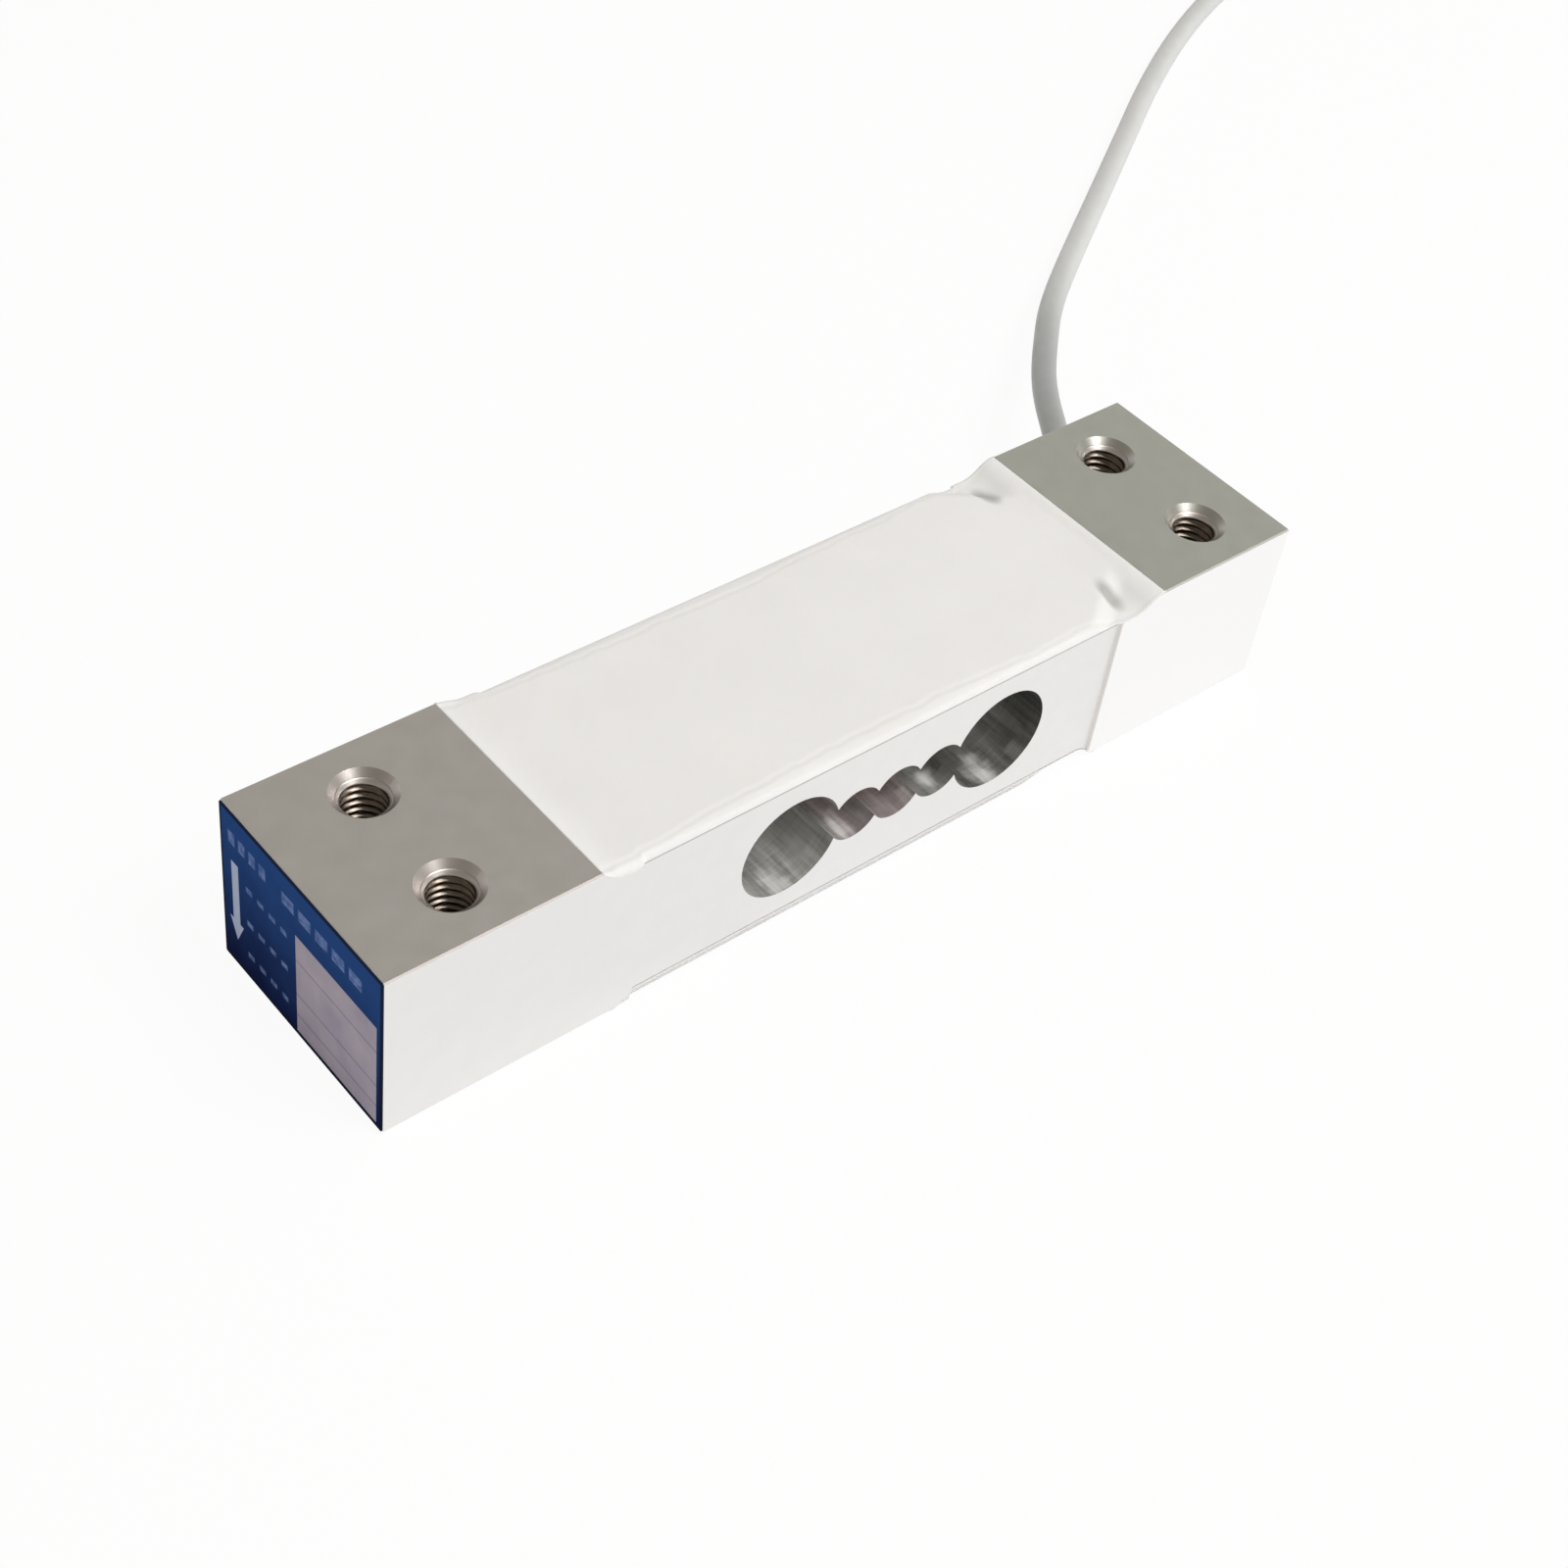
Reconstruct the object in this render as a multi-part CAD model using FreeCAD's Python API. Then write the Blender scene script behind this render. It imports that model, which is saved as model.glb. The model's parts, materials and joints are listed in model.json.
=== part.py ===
import FreeCAD, Part
import math
import os

# Single point load cell: a machined aluminium beam with a bored window, strain
# gauges sealed under silicone above and below it, and a signal cable.
# Frame: origin at the centre of the underside, +X towards the cable end,
# +Y towards the side that the cable leaves, +Z up. Millimetres.

# ---------------------------------------------------------------- beam
beam_length = 130.0
beam_width = 30.0
beam_height = 23.0
edge_break = 0.2            # chamfer along the four long edges
end_break = 0.1             # finer chamfer round each end face

# Bare lands that bolt to the scale, measured from each end face.
top_land_label = 26.0
top_land_cable = 21.6
bottom_land_label = 28.6
bottom_land_cable = 27.0

# The middle is milled back on all four sides.
top_recess = 2.0
bottom_recess = 1.4
side_recess = 0.4
top_ramp_label = 4.0        # length of the concave run-out at the label end
top_ramp_cable = 5.2        # length of the S-shaped run-out at the cable end
bottom_ramp = 3.7
side_step_label = 31.5      # side recess starts this far from the label end
side_step_cable = 28.5      # and stops this far from the cable end

# Window: two large bores joined by a chain of small ones.
window_offset = 3.5         # window centre from the middle of the beam
large_bore_radius = 6.9
large_bore_pitch = 31.4
small_bore_radius = 3.65
small_bore_pitch = 6.25
small_bore_count = 3

# Tapped holes, right through, countersunk at both mouths.
thread_radius = 3.0
countersink_radius = 3.75
hole_row_label = 12.5       # row centre from the label end face
hole_row_cable = 9.2        # row centre from the cable end face
hole_spacing = 15.5

# ---------------------------------------------------------------- cable and its bores
cable_radius = 1.75
cable_inset = 3.0           # cable axis from the cable end face
cable_height = 11.5
cable_bore_gap = 0.3        # sealing compound round the jacket
jacket_depth = 4.5          # jacket inside the beam
wire_bore_radius = 1.5      # lengthwise bore from the cable end face
riser_radius = 1.6          # upright bore that joins it to the recesses
wire_bore_stop = 0.7        # cable bore ends this far past the wire bore
riser_from_bore = 6.9       # riser axis from the edge of the large bore
crossover_from_bore = 2.65  # crossover hole axis from the edge of the large bore
crossover_radius = 0.6
plug_length = 0.9
seal_bead_radius = 2.6
seal_bead_height = 0.8

# ---------------------------------------------------------------- gauges, boards, wires
gauge_length = 9.0
gauge_width = 5.0
foil_thickness = 0.1
tab_length = 1.4
tab_width = 1.3
tab_row = 1.1               # tabs lie this far each side of an element's axis
tab_height = 0.3            # carrier, tab and solder together
board_length = 4.9
board_width = 13.0
board_thickness = 0.3
pad_pitch = 3.0
pad_reach = 0.9             # wires end this far over the board's edge
resistor_length = 6.0
resistor_width = 4.0
resistor_row = 7.6          # resistors lie this far from the centre line
lead_radius = 0.45
lead_core_radius = 0.22
lead_offset = 0.5           # two by two bundle
lead_inner_bend = 0.9
lead_strip_gap = 0.35       # insulation stops this far from the board
lead_lift = 0.4             # leads arrive this far above the board
fine_wire_radius = 0.1
passing_row = 3.6           # the far gauge's wires pass the near gauge here
resistor_wire_row = 5.2
crossover_wire_radius = 0.15
crossover_lift = 0.35

# ---------------------------------------------------------------- coat and label
top_coat = 1.3
bottom_coat = 0.9
coat_shoulder = 0.75        # rounding along its long edges
coat_lip = 0.15             # the coat's lip ends this far below each land
label_margin = 0.12
label_thickness = 0.15

# ---------------------------------------------------------------- cable end
coil_radius = 22.75         # centre line of the outer turn
coil_second_turn = 90.0     # degrees of the second turn before the tail leaves it
tail_lean = 30.0            # degrees that the tail leans inward as it leaves
tail_run = 8.5
tail_turns = [24.0, 24.0]
sleeve_length = 9.5
sleeve_on_jacket = 4.0
sleeve_wall = 0.4
sleeve_neck = 2.0           # sleeve radius where it has shrunk on to the cores
core_radius = 0.5
core_offset = 0.53          # two by two bundle inside the sleeve
core_spread = 1.2           # spacing of the cores where they lie on the bench
core_runs = [7.4, 4.0, 4.5, 4.5]
core_turns = [56.0, 28.0, 22.0]
tip_radius = 0.25
tip_length = 4.0
drain_radius = 0.35
drain_offset = 1.23

# Route of the cable along the bench, from inside the beam to the coil.
cable_x = beam_length / 2 - cable_inset
cable_route = [
    (cable_x, beam_width / 2 - jacket_depth, cable_height),
    (cable_x, 18.0, cable_height),
    (64.5, 25.3, 11.1),
    (69.9, 31.9, 10.0),
    (77.3, 38.2, 8.3),
    (85.6, 45.2, 6.2),
    (95.4, 53.2, 3.9),
    (107.6, 61.6, 2.3),
    (122.3, 71.3, cable_radius),
    (140.6, 83.2, cable_radius),
    (159.8, 95.5, cable_radius),
    (178.0, 105.4, cable_radius),
    (194.5, 112.4, cable_radius),
    (208.0, 116.0, cable_radius),
]


def vec(x, y, z):
    return FreeCAD.Vector(x, y, z)


def block(low, high):
    """Box between two opposite corners."""
    size = [b - a for a, b in zip(low, high)]
    return Part.makeBox(size[0], size[1], size[2], vec(*low))


def rod(start, end, radius):
    """Round bar from one point to another."""
    run = end - start
    return Part.makeCylinder(radius, run.Length, start, run)


def cord_radii(points):
    """Largest tangent arc at each corner of a cord's route."""
    radii = []
    for before, at, after in zip(points, points[1:], points[2:]):
        first = at - before
        second = after - at
        half_turn = first.getAngle(second) / 2
        radii.append(0.45 * min(first.Length, second.Length) / math.tan(half_turn))
    return radii


def tube(points, radius, radii):
    """Round section carried along straight runs joined by tangent arcs."""
    edges = []
    start = points[0]
    for before, at, after, bend in zip(points, points[1:], points[2:], radii):
        inward = (at - before).normalize()
        outward = (after - at).normalize()
        half_turn = inward.getAngle(outward) / 2
        cut = bend * math.tan(half_turn)
        enter = at - inward * cut
        leave = at + outward * cut
        to_centre = (outward - inward).normalize()
        middle = at + to_centre * (bend / math.cos(half_turn) - bend)
        edges.append(Part.LineSegment(start, enter).toShape())
        edges.append(Part.Arc(enter, middle, leave).toShape())
        start = leave
    edges.append(Part.LineSegment(start, points[-1]).toShape())
    path = Part.Wire(edges)
    section = Part.Wire(Part.makeCircle(radius, points[0], points[1] - points[0]))
    solid = path.makePipe(Part.Face(section))
    return solid, path.Length


def bent_wire(points, radius, bend):
    """Fine wire with the same small bend at each corner."""
    return tube(points, radius, [bend] * (len(points) - 2))[0]


def save(name, shape):
    solids = shape.Solids
    shape = solids[0] if len(solids) == 1 else Part.makeCompound(solids)
    shape.exportStep(f"parts/{name}.step")
    return shape


os.makedirs("parts", exist_ok=True)

# ---------------------------------------------------------------- derived places
half_length = beam_length / 2
half_width = beam_width / 2
label_edge = -half_length + top_land_label
cable_edge = half_length - top_land_cable
floor_top = beam_height - top_recess
floor_bottom = bottom_recess
side_label = -half_length + side_step_label
side_cable = half_length - side_step_cable
window_height = (floor_top + floor_bottom) / 2
bore_label = window_offset - large_bore_pitch / 2
bore_cable = window_offset + large_bore_pitch / 2
window_end = bore_cable + large_bore_radius
riser_x = window_end + riser_from_bore
crossover_x = window_end + crossover_from_bore
row_label = -half_length + hole_row_label
row_cable = half_length - hole_row_cable


# ---------------------------------------------------------------- beam
def s_ramp(start, end):
    """Two equal arcs from one level to another, level at both ends."""
    run = end[0] - start[0]
    rise = end[1] - start[1]
    radius = (run * run + rise * rise) / (4 * abs(rise))
    swing = math.asin(abs(run) / 2 / radius) / 2
    across = radius * math.sin(swing) * (1 if run > 0 else -1)
    along = radius * (1 - math.cos(swing)) * (1 if rise > 0 else -1)
    middle = ((start[0] + end[0]) / 2, (start[1] + end[1]) / 2)
    return [start, (start[0] + across, start[1] + along), middle,
            (end[0] - across, end[1] - along), end]


def hollow_ramp(edge, foot):
    """One arc, level where it meets the recess floor and steep at the land."""
    run = edge[0] - foot[0]
    rise = edge[1] - foot[1]
    radius = (run * run + rise * rise) / (2 * abs(rise))
    swing = math.asin(abs(run) / radius) / 2
    across = radius * math.sin(swing) * (1 if run > 0 else -1)
    along = radius * (1 - math.cos(swing)) * (1 if rise > 0 else -1)
    return [foot, (foot[0] + across, foot[1] + along), edge]


def profile_face(sides, y):
    """Face in the XZ plane from runs of points; runs of 3 or 5 are arcs."""
    edges = []
    for run in sides:
        spots = [vec(x, y, z) for x, z in run]
        if len(spots) == 2:
            edges.append(Part.LineSegment(*spots).toShape())
        for i in range(0, len(spots) - 2, 2):
            edges.append(Part.Arc(spots[i], spots[i + 1], spots[i + 2]).toShape())
    return Part.Face(Part.Wire(edges))


# Recess outlines, each from the label end to the cable end.
top_foot_label = (label_edge + top_ramp_label, floor_top)
top_foot_cable = (cable_edge - top_ramp_cable, floor_top)
top_rise_label = hollow_ramp((label_edge, beam_height), top_foot_label)
top_rise_cable = s_ramp(top_foot_cable, (cable_edge, beam_height))
low_edge_label = (-half_length + bottom_land_label, 0.0)
low_edge_cable = (half_length - bottom_land_cable, 0.0)
low_foot_label = (low_edge_label[0] + bottom_ramp, floor_bottom)
low_foot_cable = (low_edge_cable[0] - bottom_ramp, floor_bottom)
low_rise_label = s_ramp(low_edge_label, low_foot_label)
low_rise_cable = s_ramp(low_foot_cable, low_edge_cable)


def make_beam():
    corners = [(-half_length, 0.0), (-half_length, beam_height), (label_edge, beam_height),
               (half_length, beam_height), (half_length, 0.0)]
    outline = [
        [corners[0], corners[1]],
        [corners[1], corners[2]],
        list(reversed(top_rise_label)),
        [top_foot_label, top_foot_cable],
        top_rise_cable,
        [(cable_edge, beam_height), corners[3]],
        [corners[3], corners[4]],
        [corners[4], low_edge_cable],
        list(reversed(low_rise_cable)),
        [low_foot_cable, low_foot_label],
        list(reversed(low_rise_label)),
        [low_edge_label, corners[0]],
    ]
    beam = profile_face(outline, -half_width).extrude(vec(0, beam_width, 0))

    # The bar's edges are broken before the recesses are milled.
    bar = block((-half_length, -half_width, 0), (half_length, half_width, beam_height))
    bar = bar.makeChamfer(edge_break, [e for e in bar.Edges if e.BoundBox.XLength > 1])
    bar = bar.makeChamfer(end_break, [e for e in bar.Edges if e.BoundBox.XLength < 1])
    beam = beam.common(bar)

    # Side recesses, with square shoulders.
    for side in (-1, 1):
        inner = side * (half_width - side_recess)
        outer = side * (half_width + 1.0)
        low_y, high_y = sorted((inner, outer))
        beam = beam.cut(block((side_label, low_y, -1.0), (side_cable, high_y, beam_height + 1.0)))

    # Window right through the beam.
    bores = [(bore_label, large_bore_radius), (bore_cable, large_bore_radius)]
    for i in range(small_bore_count):
        x = window_offset + (i - (small_bore_count - 1) / 2) * small_bore_pitch
        bores.append((x, small_bore_radius))
    for x, radius in bores:
        drill = rod(vec(x, -half_width - 1, window_height), vec(x, half_width + 1, window_height), radius)
        beam = beam.cut(drill)

    # Tapped holes.
    sink = countersink_radius - thread_radius
    for x in (row_label, row_cable):
        for side in (-1, 1):
            y = side * hole_spacing / 2
            beam = beam.cut(rod(vec(x, y, -1), vec(x, y, beam_height + 1), thread_radius))
            cone = Part.makeCone(thread_radius, countersink_radius, sink, vec(x, y, beam_height - sink))
            beam = beam.cut(cone)
            cone = Part.makeCone(countersink_radius, thread_radius, sink, vec(x, y, 0))
            beam = beam.cut(cone)

    # Cable bore, lengthwise wire bore, riser and crossover hole.
    beam = beam.cut(rod(vec(riser_x, 0, 0), vec(riser_x, 0, beam_height), riser_radius))
    beam = beam.cut(rod(vec(riser_x, 0, cable_height), vec(half_length + 1, 0, cable_height), wire_bore_radius))
    beam = beam.cut(rod(vec(cable_x, -wire_bore_radius - wire_bore_stop, cable_height),
                        vec(cable_x, half_width + 1, cable_height), cable_radius + cable_bore_gap))
    beam = beam.cut(rod(vec(crossover_x, 0, 0), vec(crossover_x, 0, beam_height), crossover_radius))
    return beam


# ---------------------------------------------------------------- gauges, resistors, boards
def foil(x, y, length, width, side):
    """Foil element on its carrier, with two solder tabs at the board's end.
    side is 1 for the top recess and -1 for the bottom one."""
    base = floor_top if side > 0 else floor_bottom

    def layer(x0, x1, y0, y1, low, high):
        z0, z1 = sorted((base + side * low, base + side * high))
        return block((x0, y0, z0), (x1, y1, z1))

    end = x + length / 2
    half = width / 2
    piece = layer(x - length / 2, end, y - half, y + half, 0, foil_thickness)
    grid_end = end - 2 * tab_length
    piece = piece.fuse(layer(x - length / 3, grid_end, y - width / 3, y + width / 3, 0, 1.6 * foil_thickness))
    for row in (y - tab_row, y + tab_row):
        piece = piece.fuse(layer(end - tab_length, end, row - tab_width / 2, row + tab_width / 2, 0, tab_height))
    return piece.removeSplitter()


def make_board(side):
    """Terminal board round the crossover hole."""
    base = floor_top if side > 0 else floor_bottom
    low, high = sorted((base, base + side * board_thickness))
    board = block((crossover_x - board_length / 2, -board_width / 2, low),
                  (crossover_x + board_length / 2, board_width / 2, high))
    return board.cut(rod(vec(crossover_x, 0, low - 1), vec(crossover_x, 0, high + 1), crossover_radius))


# ---------------------------------------------------------------- wires inside the beam
def make_bridge_wires(side, resistor_sides):
    """Two fine wires from each gauge and each resistor to the edge of the board."""
    base = floor_top if side > 0 else floor_bottom
    level = base + side * (tab_height - fine_wire_radius)
    board_edge = crossover_x - board_length / 2
    runs = []
    for hand in (-1, 1):
        runs.append((bore_cable + gauge_length / 2, hand * tab_row, hand * tab_row))
        runs.append((bore_label + gauge_length / 2, hand * tab_row, hand * passing_row))
    for hand in resistor_sides:
        tab_x = window_offset + resistor_length / 2
        runs.append((tab_x, hand * (resistor_row - tab_row), hand * resistor_wire_row))
        runs.append((tab_x, hand * (resistor_row + tab_row), hand * (resistor_wire_row + 0.8)))
    wires = []
    for tab_x, tab_y, pad_y in runs:
        start = vec(tab_x, tab_y, level)
        end = vec(board_edge, pad_y, level)
        if tab_y == pad_y:
            wires.append(rod(start, end, fine_wire_radius))
        else:
            leave = start + vec(2 * tab_length, 0, 0)
            join = vec(tab_x + 7 * tab_length, pad_y, level)
            wires.append(bent_wire([start, leave, join, end], fine_wire_radius, 3.0))
    return wires


def make_crossovers():
    """Three insulated wires through the crossover hole, board to board."""
    top = floor_top + board_thickness
    bottom = floor_bottom - board_thickness
    wires = []
    for hand in (-1, 0, 1):
        pad_x = crossover_x + (board_length / 2 - pad_reach) * (0 if hand else -1)
        pad_y = hand * pad_pitch * 0.8
        y = hand * 2.3 * crossover_wire_radius
        route = [vec(pad_x, pad_y, top), vec(pad_x, pad_y, top + crossover_lift),
                 vec(crossover_x, y, top + crossover_lift), vec(crossover_x, y, bottom - crossover_lift),
                 vec(pad_x, pad_y, bottom - crossover_lift), vec(pad_x, pad_y, bottom)]
        wires.append(bent_wire(route, crossover_wire_radius, 2 * crossover_wire_radius))
    return wires


def make_lead(hand, level):
    """One cable core inside the beam: along the cable bore, the lengthwise bore
    and the riser, then across to its own pad on the top board."""
    shift = -hand * lead_offset
    rise = level * lead_offset
    outer_bend = lead_inner_bend + 2 * lead_offset
    board_top = floor_top + board_thickness
    over = board_top + lead_lift
    strip_x = crossover_x + board_length / 2 + lead_strip_gap
    pad_y = hand * pad_pitch * (1.5 if level > 0 else 0.5)
    bends = [lead_inner_bend if hand > 0 else outer_bend, lead_inner_bend if level > 0 else outer_bend,
             1.1 * lead_radius]
    route = [
        vec(cable_x + shift, half_width - jacket_depth, cable_height + rise),
        vec(cable_x + shift, -shift, cable_height + rise),
        vec(riser_x + rise, -shift, cable_height + rise),
        vec(riser_x + rise, -shift, over),
    ]
    if level > 0:
        route.append(vec(riser_x + rise, pad_y, over))
        bends.append(1.3 * lead_radius)
    route.append(vec(strip_x, pad_y, over))
    insulation = tube(route, lead_radius, bends)[0]
    onward = (route[-1] - route[-2]).normalize()
    pad = route[-1] + onward * (lead_strip_gap + pad_reach)
    bare = bent_wire([route[-1], pad, vec(pad.x, pad.y, board_top)], lead_core_radius, 1.2 * lead_core_radius)
    return insulation.fuse(bare)


# ---------------------------------------------------------------- silicone
def make_coat(side, cast_in):
    """Silicone that fills one recess to a level just under the lands, with a thin
    lip up each ramp, rounded long edges and the wiring cast into it."""
    if side > 0:
        base, level, land = floor_top, floor_top + top_coat, beam_height
        edges = (label_edge, cable_edge)
        feet = (top_foot_label[0], top_foot_cable[0])
    else:
        base, level, land = floor_bottom, floor_bottom - bottom_coat, 0.0
        edges = (low_edge_label[0], low_edge_cable[0])
        feet = (low_foot_label[0], low_foot_cable[0])
    lip = land - side * coat_lip
    half = half_width - side_recess
    outline = [(edges[0], base), (edges[0], lip), (feet[0], level),
               (feet[1], level), (edges[1], lip), (edges[1], base)]
    spots = [vec(x, -half, z) for x, z in outline]
    coat = Part.Face(Part.makePolygon(spots + [spots[0]])).extrude(vec(0, 2 * half, 0))
    rounded = []
    for edge in coat.Edges:
        box = edge.BoundBox
        if box.YLength < 1e-6 and box.XLength > 1 and abs(box.ZMin - base) > 0.1 and abs(box.ZMax - base) > 0.1:
            rounded.append(edge)
    coat = coat.makeFillet(coat_shoulder, rounded)
    for piece in [beam] + cast_in:
        coat = coat.cut(piece)
    return coat


# ---------------------------------------------------------------- sealing and label
def make_cable_seal():
    """Compound between the jacket and its bore, with a small bead outside."""
    bore = cable_radius + cable_bore_gap
    inside = half_width - jacket_depth
    outline = [(cable_radius, inside), (bore, inside), (bore, half_width), (seal_bead_radius, half_width),
               (cable_radius + cable_bore_gap, half_width + seal_bead_height),
               (cable_radius, half_width + seal_bead_height)]
    spots = [vec(cable_x + r, y, cable_height) for r, y in outline]
    face = Part.Face(Part.makePolygon(spots + [spots[0]]))
    return face.revolve(vec(cable_x, 0, cable_height), vec(0, 1, 0), 360).cut(cable)


def make_bore_plug():
    return rod(vec(half_length - plug_length, 0, cable_height), vec(half_length, 0, cable_height), wire_bore_radius)


def make_label():
    half = half_width - label_margin
    label = block((-half_length - label_thickness, -half, label_margin),
                  (-half_length, half, beam_height - label_margin))
    upright = [e for e in label.Edges if abs(e.BoundBox.XLength - label_thickness) < 1e-6]
    return label.makeFillet(2 * label_margin, upright)


# ---------------------------------------------------------------- cable, coil and far end
cable_points = [vec(*p) for p in cable_route]
coil_start = cable_points[-1]
forward = (coil_start - cable_points[-2]).normalize()
leftward = vec(-forward.y, forward.x, 0)
coil_centre = coil_start + leftward * coil_radius
turn_pitch = 2 * cable_radius


def coil_point(radius, degrees, shifted, z):
    """Point of the flat coil: 0 degrees is where the cable joins it, and every
    second half turn is struck from a centre half a pitch nearer the start."""
    angle = math.radians(degrees)
    away = leftward * -1
    centre = coil_centre - away * (turn_pitch / 2 if shifted else 0)
    spot = centre + away * (radius * math.cos(angle)) + forward * (radius * math.sin(angle))
    return vec(spot.x, spot.y, z)


# The coil's end face leans forward at its inner edge, across the second turn.
inside_edge = coil_radius - turn_pitch - cable_radius
lean = tail_lean / 180 * turn_pitch / (coil_radius - turn_pitch) * 90
coil_end_inner = coil_point(inside_edge, coil_second_turn - lean, False, 0)
coil_end_outer = coil_point(inside_edge + turn_pitch, coil_second_turn + lean * 0.9, False, 0)


def make_coil():
    """One closed solid of the coil's outer shape, in half turns."""
    outside = coil_radius + cable_radius
    inside = inside_edge
    end = coil_second_turn

    def arc(radius, first, last, shifted):
        spots = [coil_point(radius, a, shifted, 0) for a in (first, (first + last) / 2, last)]
        return Part.Arc(*spots).toShape()

    def line(start, end):
        return Part.LineSegment(start, end).toShape()

    outer = [
        arc(outside, 0, 180, False),
        arc(outside - cable_radius, 180, 360, True),
        line(coil_point(outside - turn_pitch, 0, False, 0), coil_point(outside, 0, False, 0)),
    ]
    inner = [
        arc(inside, 0, end - lean, False),
        line(coil_end_inner, coil_end_outer),
        arc(inside + turn_pitch, end + lean * 0.9, 180, False),
        arc(inside + cable_radius, 180, 360, True),
    ]
    face = Part.Face([Part.Wire(outer), Part.Wire(inner)])
    face.validate()
    return face.extrude(vec(0, 0, 2 * cable_radius))


def turned(way, degrees):
    angle = math.radians(degrees)
    return vec(way.x * math.cos(angle) - way.y * math.sin(angle),
               way.x * math.sin(angle) + way.y * math.cos(angle), 0)


def walk(start, way, runs, turns):
    """Corners and headings of a level route given by its runs and left turns."""
    spots = [start]
    ways = [way]
    for run, turn in zip(runs, turns + [0.0]):
        spots.append(spots[-1] + ways[-1] * run)
        ways.append(turned(ways[-1], turn))
    return spots, ways[:-1]


# The tail leaves the second turn inside the coil, square to the coil's end face,
# and its last run is lifted by the sleeve's wall.
sleeve_radius = cable_radius + sleeve_wall
tail_start = (coil_end_inner + coil_end_outer) / 2 + vec(0, 0, cable_radius)
face_way = (coil_end_inner - coil_end_outer).normalize()
tail_points, tail_ways = walk(tail_start, vec(face_way.y, -face_way.x, 0), [tail_run] * 3, tail_turns)
for spot in tail_points[2:]:
    spot.z = sleeve_radius
jacket_end = tail_points[-1]
tail_way = tail_ways[-1]


def make_sleeve():
    """Heat-shrink sleeve: tight on the jacket, drawn in on the cores."""
    far = sleeve_length - sleeve_on_jacket
    outline = [(cable_radius, -sleeve_on_jacket), (sleeve_radius, -sleeve_on_jacket), (sleeve_radius, 0.3),
               (sleeve_neck, 1.8), (sleeve_neck, far), (sleeve_neck - sleeve_wall, far),
               (sleeve_neck - sleeve_wall, 1.6), (cable_radius, 0.0)]
    across = turned(tail_way, 90)
    spots = [jacket_end + tail_way * along + across * r for r, along in outline]
    face = Part.Face(Part.makePolygon(spots + [spots[0]]))
    return face.revolve(jacket_end, tail_way, 360)


def core_route(offset, height, lie, radius):
    """Centre line of a core: straight out of the jacket, spreading as it leaves
    the sleeve, then down to the bench. lie is its place in the row there."""
    spots, ways = walk(jacket_end, tail_way, core_runs, core_turns)
    levels = [jacket_end.z + height] * 3 + [radius] * 2
    across = [offset, offset, lie, lie, lie]
    route = []
    for i, spot in enumerate(spots):
        before = ways[max(i - 1, 0)]
        after = ways[min(i, len(ways) - 1)]
        mitre = (before + after).normalize()
        reach = across[i] / mitre.dot(after)
        place = spot + turned(mitre, 90) * reach
        route.append(vec(place.x, place.y, levels[i]))
    return route


# ---------------------------------------------------------------- build and write
beam = make_beam()
save("beam", beam)

top_pieces = {
    "gauge_top_label_side": [foil(bore_label, 0, gauge_length, gauge_width, 1)],
    "gauge_top_cable_side": [foil(bore_cable, 0, gauge_length, gauge_width, 1)],
    "terminal_board_top": [make_board(1)],
    "zero_balance_resistor": [foil(window_offset, -resistor_row, resistor_length, resistor_width, 1)],
    "span_resistor": [foil(window_offset, resistor_row, resistor_length, resistor_width, 1)],
    "bridge_wires_top": make_bridge_wires(1, (-1, 1)),
    "lead_red": [make_lead(1, 1)],
    "lead_black": [make_lead(1, -1)],
    "lead_green": [make_lead(-1, -1)],
    "lead_white": [make_lead(-1, 1)],
}
bottom_pieces = {
    "gauge_bottom_label_side": [foil(bore_label, 0, gauge_length, gauge_width, -1)],
    "gauge_bottom_cable_side": [foil(bore_cable, 0, gauge_length, gauge_width, -1)],
    "terminal_board_bottom": [make_board(-1)],
    "temperature_resistor": [foil(window_offset, resistor_row, resistor_length, resistor_width, -1)],
    "bridge_wires_bottom": make_bridge_wires(-1, (1,)),
}
crossovers = make_crossovers()
for group in (top_pieces, bottom_pieces):
    for name, solids in group.items():
        save(name, Part.makeCompound(solids))
save("crossover_wires", Part.makeCompound(crossovers))
save("silicone_top", make_coat(1, sum(top_pieces.values(), []) + crossovers))
save("silicone_bottom", make_coat(-1, sum(bottom_pieces.values(), []) + crossovers))

route_radii = cord_radii(cable_points)
cable, cable_length = tube(cable_points, cable_radius, route_radii)
save("cable", cable)
save("cable_seal", make_cable_seal())
save("wire_bore_plug", make_bore_plug())
save("end_label", make_label())
save("cable_coil", make_coil())
tail_radii = cord_radii(tail_points)
tail, tail_length = tube(tail_points, cable_radius, tail_radii)
save("cable_tail", tail)
save("shrink_sleeve", make_sleeve())

core_places = {
    "core_red": (-core_offset, core_offset, -1.5 * core_spread),
    "core_black": (-core_offset, -core_offset, -0.5 * core_spread),
    "core_green": (core_offset, -core_offset, 0.5 * core_spread),
    "core_white": (core_offset, core_offset, 1.5 * core_spread),
}
tips = []
for name, (offset, height, lie) in core_places.items():
    route = core_route(offset, height, lie, core_radius)
    save(name, bent_wire(route, core_radius, 2.0))
    onward = (route[-1] - route[-2]).normalize()
    tips.append(rod(route[-1], route[-1] + onward * tip_length, tip_radius))
save("core_tips", Part.makeCompound(tips))
drain_points = core_route(drain_offset, 0.0, 2.6 * core_spread, drain_radius)
save("drain_wire", bent_wire(drain_points, drain_radius, 2.0))

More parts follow.
